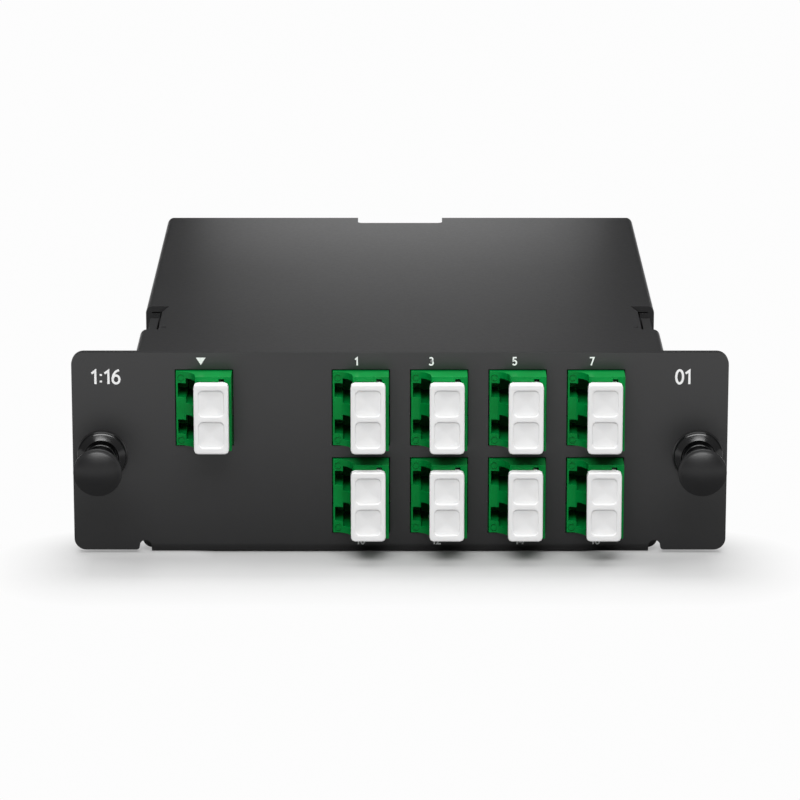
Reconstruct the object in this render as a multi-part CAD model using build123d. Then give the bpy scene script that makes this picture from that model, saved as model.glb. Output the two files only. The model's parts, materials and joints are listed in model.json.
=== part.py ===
from build123d import *
from math import atan, cos, degrees, pi
import os

# A plug-in fibre splitter cassette: folded steel case, duplex adapters with dust caps, two latches.
# Millimetres. X runs across the panel, Y from its front to the rear, Z up.
# Each piece is drawn with y = 0 on the panel's front face and saved with the origin under the
# middle of the whole object, level with the floor's underside.

# Small round forms that repeat many times are drawn with this many sides
SIDES = 10
PORT_SIDES = 8             # barrels in the sockets, and their bores
RAMP_STEPS = 3             # flats that make up the adapter's concave ramp

CUT = 1.0                  # how far each cut reaches past what it cuts
OVERLAP = 0.1              # how far joined cuts and blocks reach into each other

# Folded steel base
BASE_SHEET = 1.5
BASE_BEND = 0.2            # inside radius of the base's folds
CASE_DEPTH = 110.0         # from the panel's back to the rear wall's outer face
EAR_REACH = 10.2           # how far each ear stands out beside the cover
EAR_LIFT = 0.6             # the ears' bottom edge above the floor's underside
PANEL_CORNER = 2.0
PANEL_RISE = 1.2           # the panel's top edge above the cover
RELIEF_WIDTH = 2.0         # bend relief slots between the floor's fold and the ears
RELIEF_TOP = 2.25
RELIEF_RUN = 2.0           # how far the relief runs back into the floor
EAR_INNER_CORNER = 1.3
WALL_GAP = 0.4             # between the panel's back and the side walls' front edges
REAR_WALL_GAP = 0.2        # between the rear wall's ends and the side walls
REAR_RELIEF = 2.4          # length of the corner reliefs beside the rear wall's fold

# Folded steel cover
COVER_SHEET = 1.0
COVER_BEND = 0.2
COVER_FLANGE = 9.0         # height of the side flanges
COVER_FRONT_GAP = 0.1
COVER_REAR_CORNER = 1.0
FLANGE_END_GAP = 1.2       # the flanges stop this far before the cover's rear edge
WALL_TOP_GAP = 0.2         # between the side walls' top edges and the cover
NOTCH_WIDTH = 16.0         # rear notch, in the cover and in the rear wall
NOTCH_COVER_DEPTH = 4.6
NOTCH_WALL_DEPTH = 6.0
NOTCH_CORNER = 1.0
WINDOW_START = 19.8        # side cut-outs of the cover, from the panel's back
WINDOW_LENGTH = 17.0
WINDOW_SLOT = 0.6          # slot left between the side wall and the cover's cut edge
WINDOW_FLARE = 1.0         # how much wider the cut-out is at its rear end
WALL_SLOT_LENGTH = 4.0     # open slot in the side wall under the cut-out's rear end
WALL_SLOT_DEPTH = 6.0
PINHOLE_RADIUS = 0.45
PINHOLE_INSET = 0.9
PINHOLE_BACK = 1.7

# Cover screws
SCREW_RADIUS = 1.25
SCREW_HEAD_RADIUS = 2.2
SCREW_HEAD_HEIGHT = 0.95
SCREW_LENGTH = 4.0
SCREW_DROP = 5.0           # below the cover's top face
SCREW_FRONT_INSET = 10.0   # from the panel's back
SCREW_REAR_INSET = 12.0    # from the rear wall's outer face
SCREW_FIT = 0.03

# Duplex adapter
PORT = 4.7                 # side of each square socket
PORT_WEB = 1.55            # wall between the two sockets
END_WALL = 0.875           # wall above and below the sockets
SIDE_WALL = 0.95           # wall at the side away from the latches
LATCH_CHANNEL = 2.0        # depth of the wide part of the latch channel
LATCH_CHANNEL_HEIGHT = 4.2
LATCH_SLOT = 1.35          # depth of the narrow part
LATCH_SLOT_HEIGHT = 2.4
LATCH_WALL = 0.3
PORT_DEPTH = 12.2
LATCH_SLOT_DEPTH = 10.2
CENTRE_WALL = 2.3          # wall between the front and the rear sockets
FRONT_REACH = 4.2          # the front block stands this far out of the panel
LATCH_LEDGE = 0.5          # the latch side stands this far out
LATCH_LEDGE_WIDTH = 1.15
RAMP_WIDTH = 2.2
RAMP_SAG = 0.75
RIM_SIDE = 0.95            # stop rim behind the panel, beyond the body's sides
RIM_END = 0.65             # and beyond its ends
RIM_THICKNESS = 1.2
KEY_NOTCH_WIDTH = 0.9
KEY_NOTCH_HEIGHT = 0.45
KEY_NOTCH_DEPTH = 1.5
KEY_NOTCH_INSET = 0.2
CUTOUT_GAP = 0.2

# Barrels in the adapters' sockets, with the alignment sleeves' bore
BARREL_RADIUS = 1.45
BARREL_REACH = 4.7         # from the adapter's middle to each barrel's tip
SLEEVE_BORE = 0.665

# Adapter clips
CLIP_SHEET = 0.3
CLIP_START = 0.3           # behind the stop rim
CLIP_WIDTH = 3.0
CLIP_TAB = 2.8             # width of the forward fingers
CLIP_TAB_GAP = 0.1
CLIP_NOSE = 0.3            # the fingers end this far behind the panel's front face

# Rows and columns of adapters
COLUMN_COUNT = 6
COLUMN_GAP = 1.8           # between neighbouring stop rims
ROW_GAP = 1.1
FLOOR_ROOM = 1.6           # under the lower row's rims
COVER_ROOM = 0.2           # over the upper row's rims
SIDE_ROOM = 3.7            # between the outer rims and the side walls
LOWER, UPPER = 0, 1
ADAPTERS = {
    "in": (0, UPPER),
    "01_02": (2, UPPER), "03_04": (3, UPPER), "05_06": (4, UPPER), "07_08": (5, UPPER),
    "09_10": (2, LOWER), "11_12": (3, LOWER), "13_14": (4, LOWER), "15_16": (5, LOWER),
}

# Dust caps
CAP_STANDOFF = 2.0         # from the adapter's face to the cap's back
CAP_THICKNESS = 3.0
CAP_SIDE = 0.85            # the cap's edge beyond its posts, at the sides
CAP_END = 0.625            # and at the ends
CAP_CORNER = 0.9
CAP_EDGE = 0.3
POST_GAP = 0.15
POST_LENGTH = 12.0
POST_TIP = 0.4
POST_BORE_DEPTH = 9.0
BARREL_GAP = 0.2           # between the posts' bore and the barrels
RECESS_WIDTH = 4.0
RECESS_HEIGHT = 4.25
RECESS_RIB = 1.1
RECESS_DEPTH = 0.4
RECESS_CORNER = 0.6

# Latches
LATCH_INSET = 4.85         # from the panel's end
LATCH_HEIGHT = 17.0
GROMMET_FLANGE_RADIUS = 4.1
GROMMET_FLANGE = 1.8
GROMMET_EDGE = 0.5
BOSS_RADIUS = 2.7          # boss in front of the flange, round the pin
BOSS_LENGTH = 1.6
BARREL_PIN_RADIUS = 2.35   # the legs behind the ear
NECK_EXTRA = 0.03          # the neck's flats in the ear's hole stand out from the legs
EAR_HOLE_GAP = 0.05
GROMMET_LENGTH = 8.5       # from the panel's front to the legs' tips
LEG_SLOT = 0.8
LEG_SLOT_START = 0.8       # behind the panel's back
PLUNGER_RADIUS = 1.8
PLUNGER_FIT = 0.1
PLUNGER_TIP = 5.5          # the pin's end behind the panel's front, pulled out
PLUNGER_TRAVEL = 6.0
COLLAR_RADIUS = 2.6
COLLAR_LENGTH = 0.6
COLLAR_STOP = 0.2          # left between the collar and the grommet when pushed in
HEAD_RADIUS = 4.0
HEAD_RIM = 1.8
HEAD_EDGE = 0.45

# Splitter module and fibre hubs
MODULE_LENGTH = 60.0
MODULE_WIDTH = 7.0
MODULE_HEIGHT = 4.0
MODULE_EDGE = 0.6
MODULE_END_RECESS = 0.4
MODULE_SKIN = 0.5
MODULE_INSET = 6.0         # from the rear wall
HOLDER_LENGTH = 8.0
HOLDER_WALL = 1.2
HOLDER_BASE = 1.0
HOLDER_LIP = 0.5
HOLDER_SPREAD = 0.6        # the holders' middles, as a share of the module's half length
HOLDER_FIT = 0.05
HUB_WALL_ROOM = 1.8        # between a hub's tabs and the side wall
HUB_GAP = 4.0              # between the two hubs' tabs
HUB_TAB = 4.0
HUB_TAB_WIDTH = 7.0
HUB_TAB_THICKNESS = 1.0
HUB_TAB_COUNT = 4
HUB_RING = 1.2
HUB_HEIGHT = 10.0
HUB_FOOT = 1.2
HUB_SPOKE_WIDTH = 6.0
HUB_SIDES = 12

# Adapter sizes that follow
port_pitch = PORT + PORT_WEB
adapter_width = LATCH_WALL + LATCH_SLOT + LATCH_CHANNEL + PORT + SIDE_WALL
adapter_height = port_pitch + PORT + 2 * END_WALL
half_w, half_h = adapter_width / 2, adapter_height / 2
port_x = half_w - SIDE_WALL - PORT / 2
face_y = -FRONT_REACH
middle_y = face_y + PORT_DEPTH + CENTRE_WALL / 2
rear_y = middle_y + CENTRE_WALL / 2 + PORT_DEPTH
rim_w, rim_h = half_w + RIM_SIDE, half_h + RIM_END

# Case sizes that follow
column_pitch = 2 * rim_w + COLUMN_GAP
row_pitch = 2 * rim_h + ROW_GAP
lower_z = BASE_SHEET + FLOOR_ROOM + rim_h
inner_x = (COLUMN_COUNT - 1) * column_pitch / 2 + rim_w + SIDE_ROOM
wall_x = inner_x + BASE_SHEET
cover_x = wall_x + COVER_SHEET
panel_x = cover_x + EAR_REACH
under_z = lower_z + row_pitch + rim_h + COVER_ROOM
cover_z = under_z + COVER_SHEET
panel_z = cover_z + PANEL_RISE
case_y = BASE_SHEET + CASE_DEPTH
fold_x = inner_x - REAR_WALL_GAP
bend_outside = BASE_SHEET + BASE_BEND
window_y0 = BASE_SHEET + WINDOW_START
window_y1 = window_y0 + WINDOW_LENGTH
latch_x = panel_x - LATCH_INSET
screw_z = cover_z - SCREW_DROP
screw_ys = (BASE_SHEET + SCREW_FRONT_INSET, case_y - SCREW_REAR_INSET)

# What stands out in front, and the shared place of every piece
cap_y = face_y - CAP_STANDOFF - CAP_THICKNESS
boss_y = -GROMMET_FLANGE - BOSS_LENGTH
neck_radius = (BARREL_PIN_RADIUS + NECK_EXTRA) / cos(pi / SIDES)
plunger_y = boss_y - COLLAR_STOP - PLUNGER_TRAVEL - COLLAR_LENGTH - HEAD_RIM
object_place = Pos(0, -(min(cap_y, plunger_y) + case_y) / 2, 0)


def block(x0, x1, y0, y1, z0, z1):
    """A box between six limits."""
    middle = Pos((x0 + x1) / 2, (y0 + y1) / 2, (z0 + z1) / 2)
    return middle * Box(x1 - x0, y1 - y0, z1 - z0)


def along_y(sketch, y0, y1):
    """A front-view sketch (x, z) made solid from y0 to y1."""
    start = Plane((0, y1, 0), x_dir=(1, 0, 0), z_dir=(0, -1, 0))
    return extrude(start * sketch, amount=y1 - y0, dir=(0, -1, 0))


def along_x(sketch, x0, x1):
    """A side-view sketch (y, z) made solid from x0 to x1."""
    return extrude(Plane.YZ.offset(x0) * sketch, amount=x1 - x0)


def along_z(sketch, z0, z1):
    """A plan sketch (x, y) made solid from z0 to z1."""
    return extrude(Pos(0, 0, z0) * sketch, amount=z1 - z0)


def rectangle(u0, u1, v0, v1):
    return Pos((u0 + u1) / 2, (v0 + v1) / 2) * Rectangle(u1 - u0, v1 - v0)


def spun(points):
    """A profile of (radius, y) points turned about the Y axis."""
    return revolve(make_face(Polyline(*[(r, y, 0) for r, y in points], close=True)), Axis.Y)


def corners(sketch, test):
    return [v for v in sketch.vertices() if test(v)]


def place(column, row):
    """Where an adapter's middle lies on the panel's front face."""
    x = (column - (COLUMN_COUNT - 1) / 2) * column_pitch
    return Pos(x, 0, lower_z + row * row_pitch)


def channel(width, height, depth, outside, inside):
    """U-shaped section: floor and two walls, rounded at both folds."""
    outer = rectangle(-width, width, 0, height)
    outer = fillet(corners(outer, lambda v: v.Y < depth / 2), outside)
    inner = rectangle(-width + depth, width - depth, depth, height + CUT)
    inner = fillet(corners(inner, lambda v: v.Y < depth * 1.5), inside)
    return outer - inner


def panel_outline():
    """Front view of the panel and its ears, with the relief slots beside the floor's fold."""
    plate = rectangle(-panel_x, panel_x, EAR_LIFT, panel_z)
    plate = fillet(plate.vertices(), PANEL_CORNER)
    plate -= rectangle(-fold_x, fold_x, 0, bend_outside)
    radius = RELIEF_WIDTH / 2
    for side in (-1, 1):
        middle = side * (fold_x + radius)
        plate -= rectangle(middle - radius, middle + radius, 0, RELIEF_TOP - radius)
        plate -= Pos(middle, RELIEF_TOP - radius) * Circle(radius)
    ear_x = fold_x + RELIEF_WIDTH
    tips = corners(plate, lambda v: abs(abs(v.X) - ear_x) < OVERLAP and abs(v.Y - EAR_LIFT) < OVERLAP)
    return fillet(tips, min(EAR_INNER_CORNER, RELIEF_TOP - radius - EAR_LIFT - OVERLAP))


def base_shell():
    panel = along_y(panel_outline(), 0, BASE_SHEET)

    # Floor, with its folds up into the panel and the rear wall
    strip = rectangle(0, case_y, 0, under_z)
    strip = fillet(corners(strip, lambda v: v.Y < BASE_SHEET), bend_outside)
    hollow = rectangle(BASE_SHEET, case_y - BASE_SHEET, BASE_SHEET, under_z + CUT)
    strip -= fillet(corners(hollow, lambda v: v.Y < under_z / 2), BASE_BEND)
    shell = panel + along_x(strip, -fold_x, fold_x)

    # Side walls, folded up from the floor
    walls = channel(wall_x, under_z - WALL_TOP_GAP, BASE_SHEET, bend_outside, BASE_BEND)
    shell += along_y(walls, BASE_SHEET + WALL_GAP, case_y)

    for side in (-1, 1):
        relief = sorted((side * fold_x, side * (fold_x + RELIEF_WIDTH)))
        shell -= block(*relief, BASE_SHEET, BASE_SHEET + RELIEF_RUN, -CUT, RELIEF_TOP)
        shell -= block(*relief, case_y - REAR_RELIEF, case_y + CUT, -CUT, RELIEF_TOP)
        # the rear wall's ends stay clear of the side walls
        gap = sorted((side * fold_x, side * inner_x))
        shell -= block(*gap, case_y - bend_outside, case_y + CUT, -CUT, under_z + CUT)
        wall = sorted((side * (inner_x - CUT), side * (wall_x + CUT)))
        slot_y = (window_y1 - WALL_SLOT_LENGTH, window_y1)
        shell -= block(*wall, *slot_y, under_z - WALL_SLOT_DEPTH, under_z + CUT)
        for y in screw_ys:
            shell -= at_screw(side, y) * screw_shape(SCREW_FIT)
        shell -= Pos(side * latch_x, 0, LATCH_HEIGHT) * Rot(90, 0, 0) * Cylinder(
            neck_radius + EAR_HOLE_GAP, 4 * BASE_SHEET)

    notch = rectangle(-NOTCH_WIDTH / 2, NOTCH_WIDTH / 2, under_z - NOTCH_WALL_DEPTH, under_z + CUT)
    notch = fillet(corners(notch, lambda v: v.Y < under_z), NOTCH_CORNER)
    shell -= along_y(notch, case_y - 2 * BASE_SHEET, case_y + CUT)

    cutout = Rectangle(adapter_width + 2 * CUTOUT_GAP, adapter_height + 2 * CUTOUT_GAP)
    for column, row in ADAPTERS.values():
        shell -= place(column, row) * along_y(cutout, -CUT, BASE_SHEET + CUT)
    return shell


def top_cover():
    section = channel(cover_x, COVER_FLANGE, COVER_SHEET, COVER_SHEET + COVER_BEND, COVER_BEND)
    section = Pos(0, cover_z) * Rot(180, 0, 0) * section
    front = BASE_SHEET + COVER_FRONT_GAP
    cover = along_y(section, front, case_y)

    # the flanges stop short of the rear edge, whose corners are rounded
    plan = rectangle(-cover_x, cover_x, front, case_y)
    plan = fillet(corners(plan, lambda v: v.Y > front + CUT), COVER_REAR_CORNER)
    notch = rectangle(-NOTCH_WIDTH / 2, NOTCH_WIDTH / 2, case_y - NOTCH_COVER_DEPTH, case_y + CUT)
    plan -= fillet(corners(notch, lambda v: v.Y < case_y), NOTCH_CORNER)
    for side in (-1, 1):
        edge = inner_x - WINDOW_SLOT
        flare_y = window_y1 - WALL_SLOT_LENGTH
        outside = cover_x + CUT
        window = [(edge, window_y0), (edge, flare_y), (edge - WINDOW_FLARE, window_y1),
                  (outside, window_y1), (outside, window_y0)]
        plan -= make_face(Polyline(*[(side * x, y) for x, y in window], close=True))
        pinhole = Pos(side * (edge - PINHOLE_INSET), window_y0 + PINHOLE_BACK)
        plan -= pinhole * RegularPolygon(PINHOLE_RADIUS, SIDES)
    cover &= along_z(plan, cover_z - COVER_FLANGE - CUT, cover_z + CUT)
    for side in (-1, 1):
        flange = sorted((side * (inner_x + wall_x) / 2, side * (cover_x + CUT)))
        cover -= block(*flange, case_y - FLANGE_END_GAP, case_y + CUT, 0,
                       cover_z - COVER_SHEET - COVER_BEND)
        for y in screw_ys:
            cover -= at_screw(side, y) * screw_shape(SCREW_FIT)
    return cover


def screw_shape(gap):
    """A countersunk screw, head face at z = 0 and tip downwards, with a gap all round."""
    taper = degrees(atan((SCREW_HEAD_RADIUS - SCREW_RADIUS) / SCREW_HEAD_HEIGHT))
    head = extrude(RegularPolygon(SCREW_HEAD_RADIUS + gap, SIDES), amount=SCREW_HEAD_HEIGHT,
                   dir=(0, 0, -1), taper=taper)
    return head + along_z(RegularPolygon(SCREW_RADIUS + gap, SIDES), -SCREW_LENGTH - gap, 0)


def at_screw(side, y):
    return Pos(side * cover_x, y, screw_z) * Rot(0, side * 90, 0)


def cover_screws():
    screw = screw_shape(0)
    return Compound([at_screw(side, y) * screw for side in (-1, 1) for y in screw_ys])


def port_heights():
    return (-port_pitch / 2, port_pitch / 2)


def socket_outline(z):
    """Front view of one socket: the square and its latch channel."""
    left = port_x - PORT / 2
    outline = Pos(port_x, z) * Rectangle(PORT, PORT)
    return outline + rectangle(left - LATCH_CHANNEL, left,
                               z - LATCH_CHANNEL_HEIGHT / 2, z + LATCH_CHANNEL_HEIGHT / 2)


def latch_slot(z, y0, y1):
    slot_x = port_x - PORT / 2 - LATCH_CHANNEL
    return block(slot_x - LATCH_SLOT, slot_x + OVERLAP, y0, y1,
                 z - LATCH_SLOT_HEIGHT / 2, z + LATCH_SLOT_HEIGHT / 2)


def on_port(z, y0, y1, radius):
    """A bar on a socket's axis."""
    return along_y(Pos(port_x, z) * RegularPolygon(radius, PORT_SIDES), y0, y1)


def adapter_plan():
    """Plan of an adapter's body: the low latch side, the concave ramp, the front block."""
    step_x = -half_w + LATCH_LEDGE_WIDTH
    foot, top = (step_x, -LATCH_LEDGE), (step_x + RAMP_WIDTH, face_y)
    middle = ((foot[0] + top[0]) / 2, (foot[1] + top[1]) / 2)
    run, rise = top[0] - foot[0], foot[1] - top[1]
    length = (run ** 2 + rise ** 2) ** 0.5
    hollow = (middle[0] + RAMP_SAG * rise / length, middle[1] + RAMP_SAG * run / length)
    ramp = ThreePointArc(foot, hollow, top)
    points = [ramp @ (step / RAMP_STEPS) for step in range(RAMP_STEPS + 1)]
    return make_face(Polyline((-half_w, -LATCH_LEDGE), *points, (half_w, face_y), (half_w, rear_y),
                              (-half_w, rear_y), close=True))


def adapter():
    """Two stepped sockets at each end, joined by the barrels that line up the ferrules."""
    body = along_z(adapter_plan(), -half_h, half_h)
    body += along_y(Rectangle(2 * rim_w, 2 * rim_h), BASE_SHEET, BASE_SHEET + RIM_THICKNESS)

    tab = CLIP_TAB / 2 + CLIP_TAB_GAP
    for side in (-1, 1):
        groove = sorted((side * (half_w - CLIP_SHEET), side * (rim_w + CUT)))
        body -= block(*groove, CLIP_NOSE - CLIP_TAB_GAP, clip_y0() + 2 * CLIP_SHEET, -tab, tab)

    for z in port_heights():
        body -= along_y(socket_outline(z), face_y - CUT, face_y + PORT_DEPTH)
        body -= along_y(socket_outline(z), rear_y - PORT_DEPTH, rear_y + CUT)
        body -= latch_slot(z, face_y - CUT, face_y + LATCH_SLOT_DEPTH)
        right = port_x + PORT / 2 - KEY_NOTCH_INSET
        top = z + PORT / 2
        body -= block(right - KEY_NOTCH_WIDTH, right, face_y - CUT, face_y + KEY_NOTCH_DEPTH,
                      top - OVERLAP, top + KEY_NOTCH_HEIGHT)
        tips = (middle_y - BARREL_REACH, middle_y + BARREL_REACH)
        body += on_port(z, *tips, BARREL_RADIUS)
        body -= on_port(z, tips[0] - CUT, tips[1] + CUT, SLEEVE_BORE)
    return body


def clip_y0():
    return BASE_SHEET + RIM_THICKNESS + CLIP_START


def adapter_clip():
    """A saddle over the adapter, with a sprung finger each side that grips the cut-out."""
    y0 = clip_y0()
    y1 = y0 + CLIP_WIDTH
    outer = half_w + CLIP_SHEET
    clip = block(-outer, outer, y0, y1, half_h, half_h + CLIP_SHEET)
    groove = half_w - CLIP_SHEET
    grip = half_w + CUTOUT_GAP
    finger = [(half_w, y1), (outer, y1), (outer, y0), (half_w, y0 - CLIP_SHEET),
              (half_w, BASE_SHEET), (grip, BASE_SHEET / 2), (half_w, CLIP_NOSE),
              (groove, CLIP_NOSE), (groove, y0), (half_w, y0 + CLIP_SHEET)]
    for side in (-1, 1):
        leg = sorted((side * half_w, side * outer))
        clip += block(*leg, y0, y1, -CLIP_TAB / 2, half_h + CLIP_SHEET)
        plan = make_face(Polyline(*[(side * x, y) for x, y in finger], close=True))
        clip += along_z(plan, -CLIP_TAB / 2, CLIP_TAB / 2)
    return clip


def dust_cap():
    post = PORT - 2 * POST_GAP
    bore = 2 * (BARREL_RADIUS + BARREL_GAP)
    width = post + 2 * CAP_SIDE
    height = port_pitch + post + 2 * CAP_END
    back_y = cap_y + CAP_THICKNESS
    outline = chamfer(Rectangle(width, height).vertices(), CAP_CORNER)
    cap = along_y(outline, cap_y, back_y)
    cap = chamfer(cap.faces().sort_by(Axis.Y)[0].edges(), CAP_EDGE)
    recess = chamfer(Rectangle(RECESS_WIDTH, RECESS_HEIGHT).vertices(), RECESS_CORNER)
    for end in (-1, 1):
        middle = Pos(0, end * (RECESS_HEIGHT + RECESS_RIB) / 2)
        cap -= along_y(middle * recess, cap_y - CUT, cap_y + RECESS_DEPTH)
    for z in port_heights():
        leg = Pos(0, 0, z) * along_y(Rectangle(post, post), back_y, back_y + POST_LENGTH)
        leg = chamfer(leg.faces().sort_by(Axis.Y)[-1].edges(), POST_TIP)
        hole_y = back_y + POST_LENGTH
        cap += leg
        cap -= Pos(0, 0, z) * along_y(Rectangle(bore, bore), hole_y - POST_BORE_DEPTH, hole_y + CUT)
    return Pos(port_x, 0, 0) * cap


def grommet():
    """The split sleeve that the latch's pin slides in."""
    bore = PLUNGER_RADIUS + PLUNGER_FIT
    body = spun([
        (bore, boss_y), (BOSS_RADIUS, boss_y), (BOSS_RADIUS, -GROMMET_FLANGE),
        (GROMMET_FLANGE_RADIUS - GROMMET_EDGE, -GROMMET_FLANGE),
        (GROMMET_FLANGE_RADIUS, GROMMET_EDGE - GROMMET_FLANGE), (GROMMET_FLANGE_RADIUS, 0),
        (BARREL_PIN_RADIUS, 0), (BARREL_PIN_RADIUS, GROMMET_LENGTH), (bore, GROMMET_LENGTH)])
    neck = RegularPolygon(neck_radius, SIDES)
    body += along_y(neck - Circle(BARREL_PIN_RADIUS - NECK_EXTRA), 0, BASE_SHEET)
    slot_y = BASE_SHEET + LEG_SLOT_START
    reach = BARREL_PIN_RADIUS + CUT
    return body - block(-LEG_SLOT / 2, LEG_SLOT / 2, slot_y, GROMMET_LENGTH + CUT, -reach, reach)


def plunger():
    """The latch's pin, pulled out: mushroom head, collar and round pin."""
    rim_y = plunger_y + HEAD_RIM
    collar_y = rim_y + COLLAR_LENGTH
    return spun([
        (0, plunger_y), (HEAD_RADIUS - HEAD_EDGE, plunger_y), (HEAD_RADIUS, plunger_y + HEAD_EDGE),
        (HEAD_RADIUS, rim_y), (COLLAR_RADIUS, rim_y), (COLLAR_RADIUS, collar_y),
        (PLUNGER_RADIUS, collar_y), (PLUNGER_RADIUS, PLUNGER_TIP), (0, PLUNGER_TIP)])


def module_place():
    y = case_y - BASE_SHEET - MODULE_INSET - MODULE_WIDTH / 2
    return Pos(0, y, BASE_SHEET + HOLDER_BASE + MODULE_HEIGHT / 2)


def splitter_module():
    """A flat steel tube with its sealed ends set back."""
    outline = chamfer(Rectangle(MODULE_WIDTH, MODULE_HEIGHT).vertices(), MODULE_EDGE)
    core = Rectangle(MODULE_WIDTH - 2 * MODULE_SKIN, MODULE_HEIGHT - 2 * MODULE_SKIN)
    half = MODULE_LENGTH / 2
    module = along_x(outline, -half, half)
    for x0, x1 in ((-half - CUT, -half + MODULE_END_RECESS), (half - MODULE_END_RECESS, half + CUT)):
        module -= along_x(core, x0, x1)
    return module_place() * module


def splitter_holder(side):
    """A saddle whose walls snap over the module's edges."""
    half = MODULE_WIDTH / 2 + HOLDER_FIT
    low = -MODULE_HEIGHT / 2
    high = MODULE_HEIGHT / 2 + HOLDER_FIT
    outer = half + HOLDER_WALL
    section = [(-outer, low - HOLDER_BASE), (outer, low - HOLDER_BASE), (outer, high + HOLDER_WALL)]
    lip = [(half, high + HOLDER_WALL), (half - HOLDER_LIP, high + HOLDER_WALL / 2),
           (half - HOLDER_LIP, high), (half, high), (half, low)]
    outline = section + lip + [(-y, z) for y, z in reversed(lip)] + [(-outer, high + HOLDER_WALL)]
    middle = side * HOLDER_SPREAD * MODULE_LENGTH / 2
    face = make_face(Polyline(*outline, close=True))
    return module_place() * along_x(face, middle - HOLDER_LENGTH / 2, middle + HOLDER_LENGTH / 2)


def fibre_hub(side):
    """A ring on three spokes, with tabs at its top that keep the fibre down."""
    reach = (inner_x - HUB_WALL_ROOM - HUB_GAP / 2) / 2
    ring = reach - HUB_TAB
    module_front = case_y - BASE_SHEET - MODULE_INSET - MODULE_WIDTH - HOLDER_WALL
    middle = Pos(side * (HUB_GAP / 2 + reach), (rear_y + module_front) / 2, BASE_SHEET)
    rim = RegularPolygon(ring, HUB_SIDES) - RegularPolygon(ring - HUB_RING, HUB_SIDES)
    hub = along_z(rim, 0, HUB_HEIGHT)
    hub += along_z(Rectangle(2 * ring - HUB_RING, HUB_SPOKE_WIDTH), 0, HUB_FOOT)
    hub += along_z(Rectangle(HUB_SPOKE_WIDTH, 2 * ring - HUB_RING), 0, HUB_FOOT)
    tab = Pos(reach - (HUB_TAB + HUB_RING / 2) / 2, 0) * Rectangle(HUB_TAB + HUB_RING / 2, HUB_TAB_WIDTH)
    for turn in range(HUB_TAB_COUNT):
        angle = (turn + 0.5) * 360 / HUB_TAB_COUNT
        hub += Rot(0, 0, angle) * along_z(tab, HUB_HEIGHT - HUB_TAB_THICKNESS, HUB_HEIGHT)
    return middle * hub


def save(name, shape):
    export_step(object_place * shape, "parts/" + name + ".step")


os.makedirs("parts", exist_ok=True)
save("base_shell", base_shell())
save("top_cover", top_cover())
save("cover_screws", cover_screws())
duplex = {"adapter_": adapter(), "adapter_clip_": adapter_clip(), "dust_cap_": dust_cap()}
for name, (column, row) in ADAPTERS.items():
    for kind, shape in duplex.items():
        save(kind + name, place(column, row) * shape)
for name, side in (("left", -1), ("right", 1)):
    latch = Pos(side * latch_x, 0, LATCH_HEIGHT)
    save("grommet_" + name, latch * grommet())
    save("plunger_" + name, latch * plunger())
    save("splitter_holder_" + name, splitter_holder(side))
    save("fibre_hub_" + name, fibre_hub(side))
save("splitter_module", splitter_module())
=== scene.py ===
"""A plug-in fibre splitter cassette on a pale floor, seen from the front and a little above."""
import json
from math import cos, pi, radians, sin

import bmesh
import bpy
from mathutils import Matrix, Vector


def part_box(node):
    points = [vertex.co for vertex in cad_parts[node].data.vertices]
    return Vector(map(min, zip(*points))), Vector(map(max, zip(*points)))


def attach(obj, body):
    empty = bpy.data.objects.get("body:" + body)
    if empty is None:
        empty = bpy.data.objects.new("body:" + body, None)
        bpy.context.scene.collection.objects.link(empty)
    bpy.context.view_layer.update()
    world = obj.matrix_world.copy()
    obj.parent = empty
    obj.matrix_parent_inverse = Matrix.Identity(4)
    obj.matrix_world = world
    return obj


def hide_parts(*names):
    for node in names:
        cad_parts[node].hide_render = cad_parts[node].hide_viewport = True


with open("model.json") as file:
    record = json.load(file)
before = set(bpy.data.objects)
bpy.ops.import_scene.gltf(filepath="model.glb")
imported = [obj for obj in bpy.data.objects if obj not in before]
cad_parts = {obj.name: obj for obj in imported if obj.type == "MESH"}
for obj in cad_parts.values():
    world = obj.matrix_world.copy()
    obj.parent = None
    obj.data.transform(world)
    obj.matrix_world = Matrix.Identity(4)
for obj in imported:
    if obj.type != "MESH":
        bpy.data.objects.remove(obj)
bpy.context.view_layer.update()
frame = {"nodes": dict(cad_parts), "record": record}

MM = 0.001
PANEL_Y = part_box("base_shell")[0][1]       # the panel's front face
UPPER_ROW = ("in", "01_02", "03_04", "05_06", "07_08")
LOWER_ROW = ("09_10", "11_12", "13_14", "15_16")
PORTS = UPPER_ROW + LOWER_ROW
SIDES = ("left", "right")

# Camera: the photograph's frame is 800 pixels wide, on a 36 mm sensor
SENSOR = 36.0
FOCAL_PIXELS = 4270.0
IMAGE_WIDTH = 800.0
CAMERA_DISTANCE = 0.709
CAMERA_ELEVATION = 14.6                    # in degrees
TARGET = Vector((0, PANEL_Y, 26.5 * MM))
NEAREST, FARTHEST = 0.02, 50


def add(name, data):
    """Puts new data into the scene as an object."""
    thing = bpy.data.objects.new(name, data)
    bpy.context.scene.collection.objects.link(thing)
    return thing


def make_camera():
    """A camera at the photograph's angle."""
    data = bpy.data.cameras.new("camera")
    data.sensor_width = SENSOR
    data.lens = FOCAL_PIXELS * SENSOR / IMAGE_WIDTH
    data.clip_start, data.clip_end = NEAREST, FARTHEST
    camera = add("camera", data)
    tilt = radians(CAMERA_ELEVATION)
    camera.location = TARGET + CAMERA_DISTANCE * Vector((0, -cos(tilt), sin(tilt)))
    camera.rotation_euler = (pi / 2 - tilt, 0, 0)
    bpy.context.scene.camera = camera


# Materials

NOISE_ROUGHNESS = 0.55
COLOUR_STOPS = (0.3, 0.7)                  # where in the noise the two base colours stand


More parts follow.
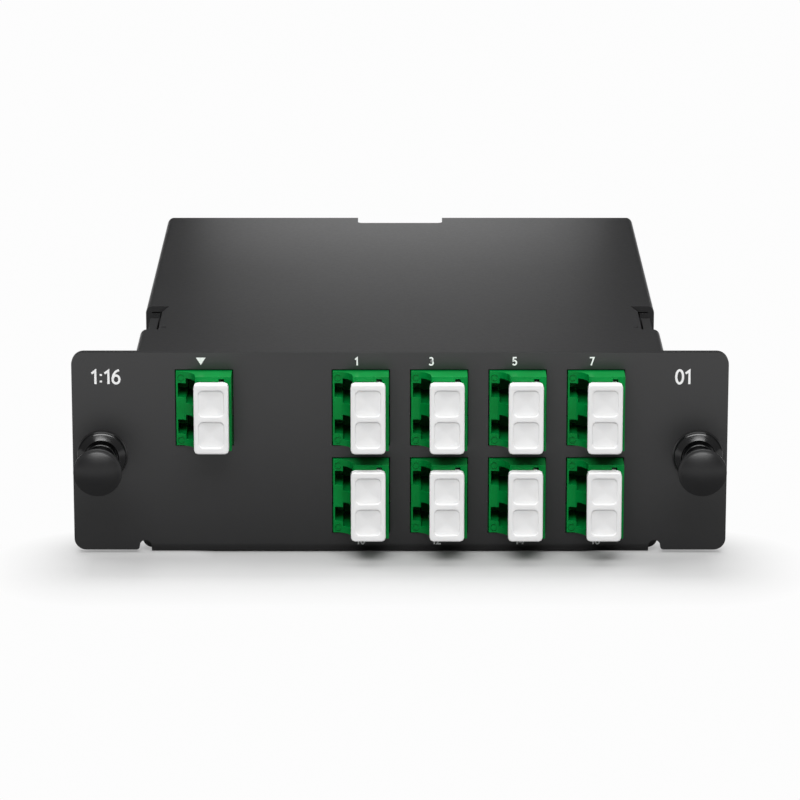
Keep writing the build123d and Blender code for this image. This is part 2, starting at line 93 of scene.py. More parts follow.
def calculate(tree, operation, *values):
    """A maths node of sockets and numbers."""
    node = tree.nodes.new("ShaderNodeMath")
    node.operation = operation
    for socket, value in zip(node.inputs, values):
        if isinstance(value, (int, float)):
            socket.default_value = value
        else:
            tree.links.new(value, socket)
    return node.outputs[0]


def spread(tree, value, source, target):
    """A value moved from one range to another, held at its ends."""
    node = tree.nodes.new("ShaderNodeMapRange")
    for name, number in zip(("From Min", "From Max", "To Min", "To Max"), (*source, *target)):
        node.inputs[name].default_value = number
    tree.links.new(value, node.inputs["Value"])
    return node.outputs["Result"]


class Shader:
    """A node material with one Principled shader and short ways to add what drives it."""

    def __init__(self, name):
        self.material = bpy.data.materials.new(name)
        self.material.use_nodes = True
        self.tree = self.material.node_tree
        self.main = self.tree.nodes["Principled BSDF"]
        self.place = self.node("ShaderNodeTexCoord").outputs["Object"]

    def node(self, kind, **values):
        """A new node, with values for its sockets or its settings."""
        made = self.tree.nodes.new(kind)
        for key, value in values.items():
            if key in made.inputs:
                made.inputs[key].default_value = value
            else:
                setattr(made, key, value)
        return made

    def link(self, out, socket):
        self.tree.links.new(out, socket)

    def set(self, **values):
        """Plain values of the Principled shader."""
        for key, value in values.items():
            self.main.inputs[key.replace("_", " ")].default_value = value

    def noise(self, size, detail=3.0, stretch=None):
        """Noise whose lumps are about this size in metres."""
        source = self.place
        if stretch:
            mapping = self.node("ShaderNodeMapping")
            mapping.inputs["Scale"].default_value = stretch
            self.link(source, mapping.inputs["Vector"])
            source = mapping.outputs["Vector"]
        noise = self.node("ShaderNodeTexNoise", Scale=1 / size, Detail=detail,
                          Roughness=NOISE_ROUGHNESS)
        self.link(source, noise.inputs["Vector"])
        return noise.outputs["Fac"]

    def colour(self, factor, low, high):
        """Base colour that wanders between two colours."""
        ramp = self.node("ShaderNodeValToRGB")
        for stop, position, colour in zip(ramp.color_ramp.elements, COLOUR_STOPS, (low, high)):
            stop.position, stop.color = position, (*colour, 1)
        self.link(factor, ramp.inputs["Fac"])
        self.link(ramp.outputs["Color"], self.main.inputs["Base Color"])

    def rough(self, factor, low, high):
        """Roughness that wanders between two values."""
        self.link(spread(self.tree, factor, (0, 1), (low, high)), self.main.inputs["Roughness"])

    def bump(self, height, depth, strength):
        """Fine relief, on top of any that is there already."""
        bump = self.node("ShaderNodeBump", Strength=strength, Distance=depth)
        self.link(height, bump.inputs["Height"])
        last = self.main.inputs["Normal"]
        if last.is_linked:
            self.link(last.links[0].from_socket, bump.inputs["Normal"])
        self.link(bump.outputs["Normal"], last)


def make_material(name, colours, clouds, rough, speckle, relief, drawn=None, **settings):
    """Colour, roughness and relief that noise drives; on drawn metal the noise is stretched."""
    shader = Shader(name)
    detail, relief_detail = (4, 4) if drawn else (3, 2)
    shader.colour(shader.noise(clouds, detail, drawn), *colours)
    shader.rough(shader.noise(speckle, detail, drawn), *rough)
    for size, depth, strength in relief:
        shader.bump(shader.noise(size, relief_detail, drawn), depth, strength)
    shader.set(**settings)
    return shader.material


# Each finish: its two colours and the size of the clouds between them, its range of roughness and
# the size of that speckle, relief as (size, depth, strength), and other values; lengths in metres
FINISHES = {
    # powder coat: orange peel and fine grain
    "case_paint": dict(
        colours=((0.007, 0.007, 0.0075), (0.01, 0.01, 0.0105)), clouds=0.03,
        rough=(0.35, 0.43), speckle=0.0006,
        relief=((0.0012, 0.00002, 0.5), (0.00025, 0.00001, 0.6)),
        Specular_IOR_Level=0.8),
    "adapter_green": dict(
        colours=((0.0, 0.18, 0.03), (0.0, 0.23, 0.042)), clouds=0.004,
        rough=(0.28, 0.4), speckle=0.0015, relief=((0.0005, 0.00001, 0.25),),
        Specular_IOR_Level=0.14),
    "cap_white": dict(
        colours=((0.8, 0.8, 0.8), (0.84, 0.84, 0.84)), clouds=0.006,
        rough=(0.34, 0.46), speckle=0.002, relief=((0.0004, 0.00001, 0.2),),
        Subsurface_Weight=0.2, Subsurface_Radius=(1.0, 0.95, 0.9), Subsurface_Scale=0.0006),
    "latch_black": dict(
        colours=((0.003, 0.003, 0.0035), (0.005, 0.005, 0.0055)), clouds=0.005,
        rough=(0.3, 0.38), speckle=0.0012, relief=((0.0008, 0.00001, 0.3),)),
    "latch_gloss": dict(
        colours=((0.002, 0.002, 0.0022), (0.0035, 0.0035, 0.004)), clouds=0.005,
        rough=(0.1, 0.16), speckle=0.0012, relief=((0.0008, 0.00001, 0.3),)),
    "screw_steel": dict(
        colours=((0.02, 0.02, 0.021), (0.04, 0.04, 0.042)), clouds=0.0008,
        rough=(0.3, 0.45), speckle=0.0004, relief=((0.0002, 0.00001, 0.3),),
        Metallic=0.7),
    "spring_steel": dict(
        colours=((0.5, 0.5, 0.51), (0.62, 0.62, 0.63)), clouds=0.0004,
        rough=(0.24, 0.4), speckle=0.0004, relief=((0.0004, 0.000005, 0.4),),
        drawn=(1, 1, 0.08), Metallic=1.0),
    "holder_white": dict(
        colours=((0.74, 0.74, 0.71), (0.8, 0.8, 0.77)), clouds=0.005,
        rough=(0.42, 0.55), speckle=0.002, relief=((0.0006, 0.00001, 0.3),)),
    "module_steel": dict(
        colours=((0.52, 0.52, 0.53), (0.64, 0.64, 0.65)), clouds=0.0004,
        rough=(0.26, 0.42), speckle=0.0004, relief=((0.0004, 0.000005, 0.5),),
        drawn=(0.04, 1, 1), Metallic=1.0),
    "print_white": dict(
        colours=((0.86, 0.86, 0.86), (0.92, 0.92, 0.92)), clouds=0.0008,
        rough=(0.45, 0.6), speckle=0.0006, relief=((0.0003, 0.000005, 0.3),)),
}
materials = {name: make_material(name, **finish) for name, finish in FINISHES.items()}


def paint_over(piece, name):
    """Gives a piece one finish, in place of what it has."""
    piece.data.materials.clear()
    piece.data.materials.append(materials[name])


# Tools for shapes

WELD = 0.002 * MM          # points nearer than this are one point
PLATE_WELD = 0.0005 * MM   # and on plates, those nearer than this
FLAT_ANGLE = 0.5           # faces that turn less than this, in degrees, are one face
SHARP_ANGLE = 35           # edges that turn more than this are rounded
PLATE_EDGE_STEPS = 2       # steps in the rounding of a plate's edge


def clean_mesh(node):
    """A welded copy of a node's mesh, with its flat faces whole again."""
    mesh = bmesh.new()
    mesh.from_mesh(frame["nodes"][node].data)
    bmesh.ops.remove_doubles(mesh, verts=mesh.verts, dist=WELD)
    bmesh.ops.dissolve_limit(mesh, angle_limit=radians(FLAT_ANGLE), verts=mesh.verts,
                             edges=mesh.edges)
    bmesh.ops.recalc_face_normals(mesh, faces=mesh.faces)
    return mesh


def round_edges(mesh, width, segments=2):
    """Rounds every sharp edge."""
    sharp = [e for e in mesh.edges if len(e.link_faces) == 2
             and e.calc_face_angle(0) > radians(SHARP_ANGLE)]
    bmesh.ops.bevel(mesh, geom=sharp, offset=width, segments=segments, profile=0.5,
                    affect="EDGES", clamp_overlap=True)


def to_object(mesh, name):
    """Makes an object of a bmesh, which is used up."""
    data = bpy.data.meshes.new(name)
    mesh.to_mesh(data)
    mesh.free()
    return add(name, data)


def finish_piece(piece, material, node, smooth=32):
    """Shades a piece, gives it its material and lets it ride with the node's body.

    Edges that turn more than smooth, in degrees, stay sharp.
    """
    piece.data.shade_smooth()
    piece.data.set_sharp_from_angle(angle=radians(smooth))
    paint_over(piece, material)
    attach(piece, body_of(node))


def body_of(node):
    """The moving body that a node belongs to."""
    for name, nodes in frame["record"]["behaviour"]["bodies"].items():
        if node in nodes:
            return name


def evaluated_mesh(piece):
    """The shape that a piece has once its modifiers or its curve are worked out."""
    depsgraph = bpy.context.evaluated_depsgraph_get()
    return bpy.data.meshes.new_from_object(piece.evaluated_get(depsgraph))


def apply_modifiers(piece):
    """Keeps what the modifiers make and takes them off."""
    shape, old = evaluated_mesh(piece), piece.data
    piece.modifiers.clear()
    piece.data = shape
    bpy.data.meshes.remove(old)


def even_normals(piece):
    """Flat faces shade flat, and the rounded edges between them take up the turn."""
    weigh = piece.modifiers.new("weigh", "WEIGHTED_NORMAL")
    weigh.mode, weigh.weight, weigh.keep_sharp = "FACE_AREA", 100, True
    apply_modifiers(piece)


def combine(piece, other, operation):
    """A Boolean of two closed pieces; the other one is used up."""
    cut = piece.modifiers.new("cut", "BOOLEAN")
    cut.operation, cut.solver, cut.object = operation, "EXACT", other
    apply_modifiers(piece)
    bpy.data.objects.remove(other)


def box_mesh(mesh, low, high):
    """Adds a box to a mesh, and gives its corners."""
    middle = (Vector(low) + Vector(high)) / 2
    size = Vector(high) - Vector(low)
    matrix = Matrix.Translation(middle) @ Matrix.Diagonal((*size, 1))
    return bmesh.ops.create_cube(mesh, size=1, matrix=matrix)["verts"]


def lathe(profile, place, steps=96, closed=False):
    """Points (radius, y) in millimetres turned about an axis along Y through place."""
    mesh = bmesh.new()
    rings = []
    for radius, y in profile:
        turns = 1 if radius == 0 else steps
        spots = [Vector((radius * MM * cos(2 * pi * k / steps), y * MM,
                         radius * MM * sin(2 * pi * k / steps))) for k in range(turns)]
        rings.append([mesh.verts.new(spot + Vector(place)) for spot in spots])
    pairs = list(zip(rings, rings[1:]))
    if closed:
        pairs.append((rings[-1], rings[0]))
    for a, b in pairs:
        for k in range(steps):
            corners = [a[k % len(a)], a[(k + 1) % len(a)], b[(k + 1) % len(b)], b[k % len(b)]]
            mesh.faces.new(list(dict.fromkeys(corners)))
    bmesh.ops.recalc_face_normals(mesh, faces=mesh.faces)
    return mesh


def arc(centre, radius, start, end, count=6):
    """Points (radius, y) round a corner; angles in degrees from outwards, turning to the rear."""
    return [(centre[0] + radius * cos(radians(start + (end - start) * k / count)),
             centre[1] + radius * sin(radians(start + (end - start) * k / count)))
            for k in range(count + 1)]


# What stays as the CAD has it: only the finish

for row in frame["record"]["subparts"]:
    paint_over(frame["nodes"][row["node"]], row["material_slot"])


# Sheet metal: the CAD shapes with their cut edges eased

EASED = 0.12 * MM

for node in ("base_shell", "top_cover"):
    mesh = clean_mesh(node)
    round_edges(mesh, EASED)
    piece = to_object(mesh, node + "_sheet")
    finish_piece(piece, "case_paint", node)
    even_normals(piece)
    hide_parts(node)


# Adapters: eased edges, and the ejector pins' marks on the latch side

MARK_RADIUS, MARK_WIDTH, MARK_HEIGHT, MARK_TAPER = 0.6, 0.15, 0.2, 0.04
MARK_SINK, MARK_STEPS = 0.05, 24
MARK_PLACES = ((-3.85, 5.35), (-3.85, -5.35))
LATCH_SIDE_Y = -0.5
CAP_OFFSET = 1.35          # the caps' plates stand to the right of their adapters' middles


def add_ring(mesh, place):
    """Adds one raised ring to a mesh, a little sunk in its face."""
    inner = MARK_RADIUS - MARK_WIDTH
    face, top = LATCH_SIDE_Y + MARK_SINK, LATCH_SIDE_Y - MARK_HEIGHT
    profile = [(MARK_RADIUS, face), (MARK_RADIUS - MARK_TAPER, top),
               (inner + MARK_TAPER, top), (inner, face)]
    ring = lathe(profile, place, MARK_STEPS, closed=True)
    data = bpy.data.meshes.new("ring")
    ring.to_mesh(data)
    ring.free()
    mesh.from_mesh(data)
    bpy.data.meshes.remove(data)


for port in PORTS:
    node = "adapter_" + port
    mesh = clean_mesh(node)
    round_edges(mesh, EASED)
    low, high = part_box("dust_cap_" + port)
    middle = Vector(((low[0] + high[0]) / 2 - CAP_OFFSET * MM, PANEL_Y, (low[2] + high[2]) / 2))
    for x, z in MARK_PLACES:
        add_ring(mesh, middle + Vector((x * MM, 0, z * MM)))
    piece = to_object(mesh, "adapter_body_" + port)
    finish_piece(piece, "adapter_green", node)
    even_normals(piece)
    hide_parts(node)


# Dust caps: soft-edged plates with two rounded recesses, on hollow square posts; y = 0 on the
# panel's face, in millimetres

CAP_FRONT, CAP_BACK = -7.9, -6.2
CAP_WIDTH, CAP_HEIGHT, CAP_CORNER, CAP_EDGE = 5.75, 11.9, 0.65, 0.22
CAP_SHIFT, CAP_LIFT = 0.1, 0.12            # play of the caps in their sockets
RECESS_WIDTH, RECESS_HEIGHT, RECESS_CORNER = 4.05, 4.25, 0.75
RECESS_Z = 2.675                           # up and down from the cap's middle
RECESS_EDGE, RECESS_MIDDLE = 0.1, 0.45     # depth of the dished recess
PAD_WIDTH, PAD_HEIGHT, PAD_CORNER = 4.6, 4.8, 0.9
PAD_STEPS, PAD_SINK = 8, 0.4
POST_Z, POST_HALF, POST_EDGE = 3.125, 2.2, 0.3
POST_START, POST_END = CAP_BACK - 0.5, 5.8
BORE_HALF, BORE_START, BORE_END = 1.65, -3.2, 7


def rounded_loop(width, height, corner, middle=(0, 0), steps=6):
    """A rounded rectangle as (x, z) points; one step makes plain chamfers."""
    points = []
    for sx, sz, start in ((1, 1, 0), (-1, 1, 90), (-1, -1, 180), (1, -1, 270)):
        cx, cz = sx * (width / 2 - corner), sz * (height / 2 - corner)
        for k in range(steps + 1):
            angle = radians(start + 90 * k / steps)
            points.append((middle[0] + cx + corner * cos(angle),
                           middle[1] + cz + corner * sin(angle)))
    return points


def plate(loops, y0, y1, edge):
    """A flat plate with holes and soft edges, from loops of (x, z) points in millimetres."""
    curve = bpy.data.curves.new("plate", "CURVE")
    curve.dimensions, curve.fill_mode = "2D", "BOTH"
    curve.extrude = (y1 - y0) / 2 * MM - edge * MM
    curve.bevel_depth, curve.bevel_resolution = edge * MM, PLATE_EDGE_STEPS
    curve.offset = -edge * MM
    for loop in loops:
        spline = curve.splines.new("POLY")
        spline.points.add(len(loop) - 1)
        for point, (x, z) in zip(spline.points, loop):
            point.co = (x * MM, z * MM, 0, 1)
        spline.use_cyclic_u = True
    thing = add("plate", curve)
    data = evaluated_mesh(thing)
    bpy.data.objects.remove(thing)
    mesh = bmesh.new()
    mesh.from_mesh(data)
    bpy.data.meshes.remove(data)
    bmesh.ops.remove_doubles(mesh, verts=mesh.verts, dist=PLATE_WELD)
    turn = Matrix.Translation((0, (y0 + y1) / 2 * MM, 0)) @ Matrix.Rotation(pi / 2, 4, "X")
    bmesh.ops.transform(mesh, matrix=turn, verts=mesh.verts)
    bmesh.ops.recalc_face_normals(mesh, faces=mesh.faces)
    return mesh


def dish(middle):
    """A pad with a hollow front, to close a recess from behind."""
    mesh = bmesh.new()
    rings = []
    for k in range(PAD_STEPS, 0, -1):
        scale = k / PAD_STEPS
        y = CAP_FRONT + (RECESS_MIDDLE + (RECESS_EDGE - RECESS_MIDDLE) * scale ** 2)
        loop = rounded_loop(PAD_WIDTH, PAD_HEIGHT, PAD_CORNER)
        rings.append([mesh.verts.new(((x * scale + middle[0]) * MM, y * MM,
                                      (z * scale + middle[1]) * MM)) for x, z in loop])
    rear = [mesh.verts.new((v.co.x, (CAP_BACK - PAD_SINK) * MM, v.co.z)) for v in rings[0]]
    for a, b in zip([rear, *rings], rings):
        for k in range(len(a)):
            mesh.faces.new((a[k - 1], a[k], b[k], b[k - 1]))
    mesh.faces.new(rings[-1])
    mesh.faces.new(rear)
    bmesh.ops.recalc_face_normals(mesh, faces=mesh.faces)
    return mesh


def square_bar(z, half, start, end):
    """A bar along Y, at x = 0 and this z, in millimetres."""
    mesh = bmesh.new()
    box_mesh(mesh, (-half * MM, start * MM, (z - half) * MM),
             (half * MM, end * MM, (z + half) * MM))
    return mesh


def cap_mesh():
    """One cap round its own middle."""
    outline = rounded_loop(CAP_WIDTH, CAP_HEIGHT, CAP_CORNER, steps=2)
    spots = [(0, z) for z in (-RECESS_Z, RECESS_Z)]
    holes = [rounded_loop(RECESS_WIDTH, RECESS_HEIGHT, RECESS_CORNER, spot) for spot in spots]
    piece = to_object(plate([outline, *holes], CAP_FRONT, CAP_BACK, CAP_EDGE), "cap_shape")
    for spot in spots:
        combine(piece, to_object(dish(spot), "pad"), "UNION")
    for z in (-POST_Z, POST_Z):
        post = square_bar(z, POST_HALF, POST_START, POST_END)
        round_edges(post, POST_EDGE * MM, 3)
        combine(piece, to_object(post, "post"), "UNION")
        bore = square_bar(z, BORE_HALF, BORE_START, BORE_END)
        combine(piece, to_object(bore, "bore"), "DIFFERENCE")
    shape = piece.data
    bpy.data.objects.remove(piece)
    return shape


cap_shape = cap_mesh()
for port in PORTS:
    node = "dust_cap_" + port
    low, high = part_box(node)
    data = cap_shape.copy()
    shift = CAP_SHIFT * MM * (1 if port == "in" else -1)
    lift = CAP_LIFT * MM * (port in LOWER_ROW)
    data.transform(Matrix.Translation(((low[0] + high[0]) / 2 + shift, PANEL_Y,
                                       (low[2] + high[2]) / 2 + lift)))
    piece = add("dust_cap_moulding_" + port, data)
    finish_piece(piece, "cap_white", node, smooth=40)
    even_normals(piece)
    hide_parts(node)
bpy.data.meshes.remove(cap_shape)


# Latches: profiles as (radius, y), with y = 0 on the panel's face, in millimetres

GROMMET_PROFILE = (
    [(1.9, 8.5), (1.9, -3.25)] + arc((2.05, -3.25), 0.15, 180, 270, 3)
    + arc((2.5, -3.2), 0.2, 270, 360, 4) + arc((2.5, -2.95), 0.15, 0, 60, 2)
    + [(2.2, -2.7), (2.15, -2.5), (2.15, -1.55)]
    + [(2.75, -1.5), (2.8, -1.66)] + arc((2.95, -1.65), 0.15, 200, 300, 4)
    + [(3.8, -1.3)] + arc((3.8, -1.0), 0.3, 300, 360, 4)
    + [(4.1, -0.35), (4.32, -0.3), (4.32, 0), (2.45, 0), (2.45, 1.5), (2.35, 1.6)]
    + [(2.35, 8.0), (2.1, 8.5)])
PLUNGER_PROFILE = (
    [(0, -12.0)] + arc((0, -4.0), 8.0, 273, 298, 10) + arc((3.93, -11.0), 0.07, 300, 360, 3)
    + [(4.0, -10.6)] + arc((3.7, -10.55), 0.3, 0, 90, 4)
    + [(2.6, -10.2), (2.3, -10.15), (2.3, -9.75)]
    + arc((2.15, -9.75), 0.15, 0, 90, 3) + [(1.95, -9.5), (1.83, -9.2), (1.8, -8.8)]
    + [(1.8, 5.2), (1.5, 5.5), (0, 5.5)])
SLIT_FROM, SLIT_TO = Vector((-0.4, 2.3, -4)) * MM, Vector((0.4, 10, 4)) * MM

for side in SIDES:
    low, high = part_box("plunger_" + side)
    place = Vector(((low[0] + high[0]) / 2, PANEL_Y, (low[2] + high[2]) / 2))
    piece = to_object(lathe(GROMMET_PROFILE, place, closed=True), "latch_sleeve_" + side)
    slit = bmesh.new()
    box_mesh(slit, place + SLIT_FROM, place + SLIT_TO)
    combine(piece, to_object(slit, "slit"), "DIFFERENCE")
    finish_piece(piece, "latch_gloss", "grommet_" + side, smooth=40)
    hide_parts("grommet_" + side)
    piece = to_object(lathe(PLUNGER_PROFILE, place), "latch_pin_" + side)
    finish_piece(piece, "latch_black", "plunger_" + side, smooth=40)
    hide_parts("plunger_" + side)


# Cover screws: countersunk heads with cross recesses, in millimetres

SCREW_PROFILE = ((0, 0), (2.0, 0), (2.15, -0.08), (2.15, -0.18), (1.25, -0.95), (1.25, -3.7),
                 (0.95, -4.0), (0, -4.0))
SCREW_STEPS = 48
SCREW_INSET = 2.2                       # from the ends of the screws' box to their middles
SCREW_TURN, NEXT_TURN = 25, 40          # in degrees, so that no two stand alike
CROSS_REACH, CROSS_HALF, CROSS_DEPTH, CROSS_TOP = 1.15, 0.22, 0.8, 0.5
CROSS_TAPER = 0.35


def screw_mesh(name):
    """A screw along Z, its head's face at z = 0."""
    mesh = lathe(SCREW_PROFILE, (0, 0, 0), SCREW_STEPS)
    bmesh.ops.rotate(mesh, cent=(0, 0, 0), matrix=Matrix.Rotation(pi / 2, 3, "X"), verts=mesh.verts)
    screw = to_object(mesh, name)
    for turn in (0, pi / 2):
        cut = bmesh.new()
        corners = box_mesh(cut, (-CROSS_REACH * MM, -CROSS_HALF * MM, -CROSS_DEPTH * MM),
                           (CROSS_REACH * MM, CROSS_HALF * MM, CROSS_TOP * MM))
        for corner in corners:
            if corner.co.z < 0:
                corner.co.x *= CROSS_TAPER
        bmesh.ops.rotate(cut, cent=(0, 0, 0), matrix=Matrix.Rotation(turn, 3, "Z"), verts=cut.verts)
        combine(screw, to_object(cut, "cross"), "DIFFERENCE")
    return screw


def make_screws():
    """Two screws at each side, as one piece."""
    low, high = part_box("cover_screws")
    shape = bmesh.new()
    screw = screw_mesh("cover_screw_heads")
    inset = SCREW_INSET * MM
    middle_z = (low[2] + high[2]) / 2
    spots = [(x, y, side) for x, side in ((low[0], -1), (high[0], 1))
             for y in (low[1] + inset, high[1] - inset)]
    for k, (x, y, side) in enumerate(spots):
        part = screw.data.copy()
        spin = Matrix.Rotation(radians(SCREW_TURN + NEXT_TURN * k), 4, "Z")
        lean = Matrix.Rotation(side * pi / 2, 4, "Y")
        part.transform(Matrix.Translation((x, y, middle_z)) @ (lean @ spin))
        shape.from_mesh(part)
        bpy.data.meshes.remove(part)
    shape.to_mesh(screw.data)
    shape.free()
    finish_piece(screw, "screw_steel", "cover_screws", smooth=35)
    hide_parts("cover_screws")


make_screws()


# Printing: plain figures drawn as strokes in a box one unit high

def bow(centre, size, start, end, count=14):
    """Points along part of an ellipse; angles in degrees."""
    return [(centre[0] + size[0] * cos(radians(start + (end - start) * k / count)),
             centre[1] + size[1] * sin(radians(start + (end - start) * k / count)))
            for k in range(count + 1)]


# each figure's width and its strokes
FIGURES = {
    "0": (0.56, [bow((0.28, 0.5), (0.25, 0.5), 0, 360, 28)]),
    "1": (0.4, [[(0.04, 0.78), (0.28, 0.97), (0.28, 0)]]),
    "2": (0.56, [bow((0.27, 0.72), (0.22, 0.28), 155, -30) + [(0.05, 0), (0.54, 0)]]),
    "3": (0.56, [bow((0.24, 0.76), (0.22, 0.24), 135, -90)
                 + bow((0.24, 0.26), (0.27, 0.26), 90, -140)]),
    "4": (0.6, [[(0.43, 0), (0.43, 0.98), (0.03, 0.28), (0.58, 0.28)]]),
    "5": (0.56, [[(0.48, 1), (0.12, 1), (0.09, 0.55)] + bow((0.25, 0.31), (0.26, 0.3), 115, -140)]),
    "6": (0.56, [bow((0.28, 0.3), (0.25, 0.3), 0, 360, 28),
                 bow((0.56, 0.3), (0.53, 0.7), 100, 180)]),
    "7": (0.54, [[(0.03, 1), (0.52, 1), (0.18, 0)]]),
    ":": (0.24, [[(0.12, 0.12), (0.12, 0.16)], [(0.12, 0.62), (0.12, 0.66)]]),
}
INK, NEXT_INK = 0.015, 0.002       # a stroke's thickness, and what each next one has more
SPACING = 0.16                     # between figures, of their height
STROKE_END = 0.6                   # how far a stroke runs past its ends, of its half width
SHARPEST_MITRE = 0.5
SAME_POINT = 1e-6                  # a stroke whose ends are nearer than this is closed


def print_figures(name, words, x, z, height, weight):
    """White figures on the panel: middle at x, foot at z, all in millimetres."""
    widths = [FIGURES[letter][0] * height for letter in words]
    left = x - (sum(widths) + SPACING * height * (len(words) - 1)) / 2
    outline = bmesh.new()
    for letter, width in zip(words, widths):
        for k, stroke in enumerate(FIGURES[letter][1]):
            points = [Vector((left + px * height, z + pz * height)) for px, pz in stroke]
            add_stroke(outline, points, weight * height / 2, INK + NEXT_INK * k)
        left += width + SPACING * height
    piece = to_object(outline, name)
    finish_piece(piece, "print_white", "base_shell", smooth=20)


def add_stroke(mesh, points, half, ink):
    """A flat ribbon with mitred joints along the points, raised by the ink's thickness."""
    closed = (points[0] - points[-1]).length < SAME_POINT
    if closed:
        points = points[:-1]
    count = len(points)
    rails = []
    for k, point in enumerate(points):
        before = points[k - 1] if k or closed else None
        after = points[(k + 1) % count] if k < count - 1 or closed else None
        runs = [(point - before).normalized()] if before is not None else []
        runs += [(after - point).normalized()] if after is not None else []
        along = sum(runs, Vector((0, 0))).normalized()
        across = Vector((-along.y, along.x))
        reach = half / max(SHARPEST_MITRE, abs(across.dot(Vector((-runs[0].y, runs[0].x)))))
        end = Vector((0, 0))
        if len(runs) == 1:
            end = runs[0] * half * (-STROKE_END if before is None else STROKE_END)
        ring = []
        for sign, y in ((1, 0), (1, -ink), (-1, -ink), (-1, 0)):
            spot = point + end + sign * reach * across
            ring.append(mesh.verts.new((spot.x * MM, PANEL_Y + y * MM, spot.y * MM)))
        rails.append(ring)
    pairs = list(zip(rails, rails[1:])) + ([(rails[-1], rails[0])] if closed else [])
    for a, b in pairs:
        for j in range(4):
            mesh.faces.new((a[j], a[(j + 1) % 4], b[(j + 1) % 4], b[j]))
    if not closed:
        mesh.faces.new(rails[0])
        mesh.faces.new(rails[-1][::-1])
    bmesh.ops.recalc_face_normals(mesh, faces=mesh.faces)


def print_triangle(name, x, z, width, height):
    """A filled triangle that points down, with its tip at x and z, in millimetres."""
    mesh = bmesh.new()
    corners = [(0, 0), (width / 2, height), (-width / 2, height)]
    back, front = [[mesh.verts.new(((x + px) * MM, PANEL_Y + y * MM, (z + pz) * MM))
                    for px, pz in corners] for y in (0, -INK)]
    mesh.faces.new(back)
    mesh.faces.new(front)
    for k in range(3):
        mesh.faces.new((back[k - 1], back[k], front[k], front[k - 1]))
    bmesh.ops.recalc_face_normals(mesh, faces=mesh.faces)
    finish_piece(to_object(mesh, name), "print_white", "base_shell", smooth=20)


# the figures' heights, and their places on the panel
SMALL, LARGE = 1.25, 2.25
SMALL_WEIGHT, LARGE_WEIGHT = 0.2, 0.17       # a stroke's width, of the figure's height
TRIANGLE_WIDTH, TRIANGLE_HEIGHT = 1.6, 1.25
INPUT_X, RATIO_X, SLOT_X = -33.0, -48.8, 47.0
UPPER_FOOT, LOWER_FOOT, CORNER_FOOT = 32.5, 1.62, 29.35
PORT_NUMBERS = (("1", -7.2, UPPER_FOOT), ("3", 5.2, UPPER_FOOT), ("5", 19.0, UPPER_FOOT),
                ("7", 31.8, UPPER_FOOT), ("10", -6.6, LOWER_FOOT), ("12", 6.1, LOWER_FOOT),
                ("14", 20.0, LOWER_FOOT), ("16", 32.7, LOWER_FOOT))
for words, x, foot in PORT_NUMBERS:
    print_figures("port_number_" + words, words, x, foot, SMALL, SMALL_WEIGHT)
print_triangle("input_mark", INPUT_X, UPPER_FOOT, TRIANGLE_WIDTH, TRIANGLE_HEIGHT)
print_figures("ratio_mark", "1:16", RATIO_X, CORNER_FOOT, LARGE, LARGE_WEIGHT)
print_figures("slot_mark", "01", SLOT_X, CORNER_FOOT, LARGE, LARGE_WEIGHT)


# Light, floor and backdrop, in metres

BACKDROP = (0.98, 0.98, 0.98, 1)
ROOM_HEIGHT, ROOM_LIGHT = (0.5, 1.0), (0.03, 0.7)          # height of a direction: its light
FRONT_REACH, FRONT_LIGHT = (-0.3, -0.9), (0.0, 0.42)       # the same, towards the front
GLOSS_SHARE = 0.03                                         # of the backdrop, in reflections
FLOOR_TONES = (0.2, 0.54)                                  # for bounced light, and as looked at
FLOOR_LIFT = 0.01
# middles and halves of the places that keep their shade: under the panel, and under the case
SHADED = (((0, -0.058, 0), (0.05, 0.004, 1)), ((0, -0.005, 0), (0.03, 0.055, 1)))
FLOOR_FADE = (0.001, 0.018)                                # from shade to white, as looked at
SHINE_FADE = (0.032, 0.08)                                 # and in reflections
FLOOR_HALF = 3
PAPER_ROUGHNESS, PAPER_SPECKLE = (0.85, 0.95), 0.01
PAPER_SHADES, PAPER_CLOUDS = (0.99, 1.01), 0.02            # a share of the tone
PAPER_SPECULAR = 0.1
# each lamp's place, aim, size, power in watts, and shape
LAMPS = {
    "overhead": ((0, 0, 0.32), (0, 0, 0), (0.4, 0.2), 0.9, "RECTANGLE"),
    "front": ((0, -0.75, 0.7), (0, PANEL_Y, 0.02), (0.8, 0.4), 8.9, "RECTANGLE"),
    # low behind the cover, for the gleam that fades towards the panel
    "rear": ((0, 0.115, 0.05), (0, 0.03, 0.036), (0.085, 0.014), 0.0038, "ELLIPSE"),
}


def area_light(name, place, aim, size, power, shape):
    """A soft lamp that the camera doesn't see."""
    data = bpy.data.lights.new(name, "AREA")
    data.shape = shape
    data.size, data.size_y = size
    data.energy = power
    lamp = add(name, data)
    lamp.location = place
    lamp.rotation_euler = (Vector(aim) - Vector(place)).to_track_quat("-Z", "Y").to_euler()
    lamp.visible_camera = False


def seen_rays(tree):
    """What looks at the stage: the camera or clear things, and reflections."""
    rays = tree.nodes.new("ShaderNodeLightPath").outputs
    direct = calculate(tree, "MAXIMUM", rays["Is Camera Ray"], rays["Is Transmission Ray"])
    return direct, rays["Is Glossy Ray"]


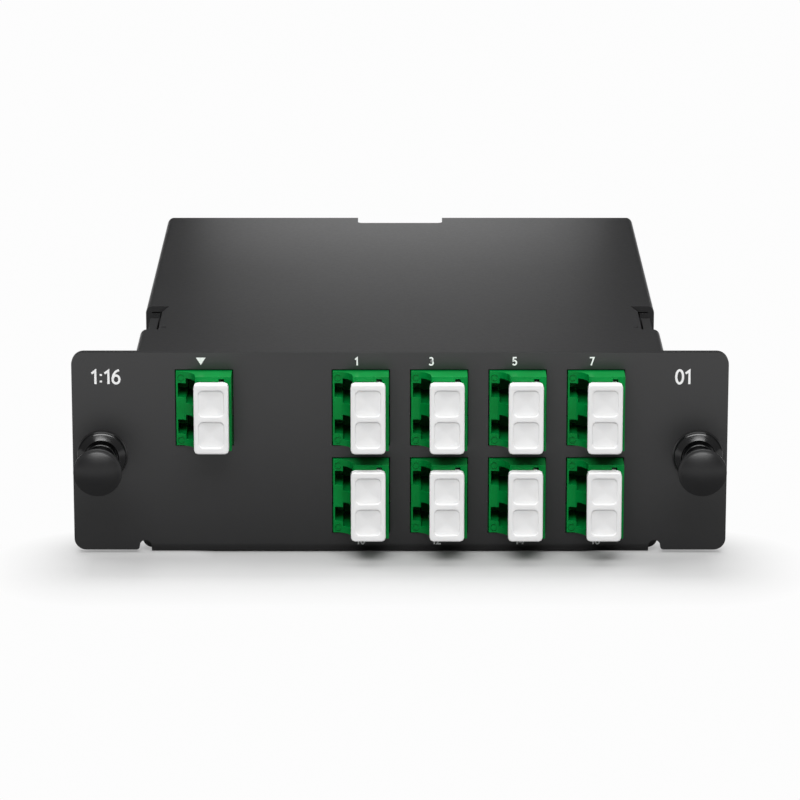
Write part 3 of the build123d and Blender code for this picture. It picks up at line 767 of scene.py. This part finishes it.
def make_world():
    """Soft light, most of it from overhead and the front, and a white backdrop to look at."""
    world = bpy.data.worlds.new("studio")
    bpy.context.scene.world = world
    world.use_nodes = True
    tree = world.node_tree
    room = tree.nodes["Background"]
    room.inputs["Color"].default_value = (1, 1, 1, 1)
    split = tree.nodes.new("ShaderNodeSeparateXYZ")
    tree.links.new(tree.nodes.new("ShaderNodeTexCoord").outputs["Generated"], split.inputs[0])
    over = spread(tree, split.outputs["Z"], ROOM_HEIGHT, ROOM_LIGHT)
    ahead = spread(tree, split.outputs["Y"], FRONT_REACH, FRONT_LIGHT)
    tree.links.new(calculate(tree, "MAXIMUM", over, ahead), room.inputs["Strength"])
    white = tree.nodes.new("ShaderNodeBackground")
    white.inputs["Color"].default_value = BACKDROP
    direct, glossy = seen_rays(tree)
    mix = tree.nodes.new("ShaderNodeMixShader")
    share = calculate(tree, "MULTIPLY", glossy, GLOSS_SHARE)
    tree.links.new(calculate(tree, "MAXIMUM", direct, share), mix.inputs["Fac"])
    tree.links.new(room.outputs[0], mix.inputs[1])
    tree.links.new(white.outputs[0], mix.inputs[2])
    tree.links.new(mix.outputs[0], tree.nodes["World Output"].inputs["Surface"])


def distance_from(shader, middle, half):
    """How far a place is from a rectangle on the floor."""
    value = shader.place
    for operation, other in (("SUBTRACT", middle), ("ABSOLUTE", None), ("SUBTRACT", half),
                             ("MAXIMUM", (0, 0, 0)), ("LENGTH", None)):
        node = shader.node("ShaderNodeVectorMath", operation=operation)
        shader.link(value, node.inputs[0])
        if other:
            node.inputs[1].default_value = other
        value = node.outputs["Value" if operation == "LENGTH" else "Vector"]
    return value


def make_floor():
    """Paper that keeps the object's shadow, and runs out to white round it."""
    mesh = bmesh.new()
    bmesh.ops.create_grid(mesh, x_segments=1, y_segments=1, size=FLOOR_HALF)
    floor = to_object(mesh, "floor")
    shader = Shader("floor_paper")
    tree = shader.tree
    shader.rough(shader.noise(PAPER_SPECKLE), *PAPER_ROUGHNESS)
    shader.set(Specular_IOR_Level=PAPER_SPECULAR)
    direct, glossy = seen_rays(tree)
    tone = calculate(tree, "MULTIPLY", spread(tree, direct, (0, 1), FLOOR_TONES),
                     spread(tree, shader.noise(PAPER_CLOUDS), (0, 1), PAPER_SHADES))
    shader.link(tone, shader.main.inputs["Base Color"])
    shader.main.inputs["Emission Color"].default_value = (1, 1, 1, 1)
    lift = calculate(tree, "MULTIPLY", direct, FLOOR_LIFT)
    shader.link(lift, shader.main.inputs["Emission Strength"])
    away = calculate(tree, "MINIMUM", *(distance_from(shader, *area) for area in SHADED))
    parts = [calculate(tree, "MULTIPLY", rays, spread(tree, away, reach, (0, 1)))
             for rays, reach in ((direct, FLOOR_FADE), (glossy, SHINE_FADE))]
    white = shader.node("ShaderNodeEmission", Color=BACKDROP)
    mix = shader.node("ShaderNodeMixShader")
    shader.link(calculate(tree, "MAXIMUM", *parts), mix.inputs["Fac"])
    shader.link(shader.main.outputs[0], mix.inputs[1])
    shader.link(white.outputs[0], mix.inputs[2])
    shader.link(mix.outputs[0], tree.nodes["Material Output"].inputs["Surface"])
    floor.data.materials.append(shader.material)


make_camera()
make_world()
make_floor()
for name, values in LAMPS.items():
    area_light(name, *values)

bpy.context.scene.view_settings.view_transform = "Standard"
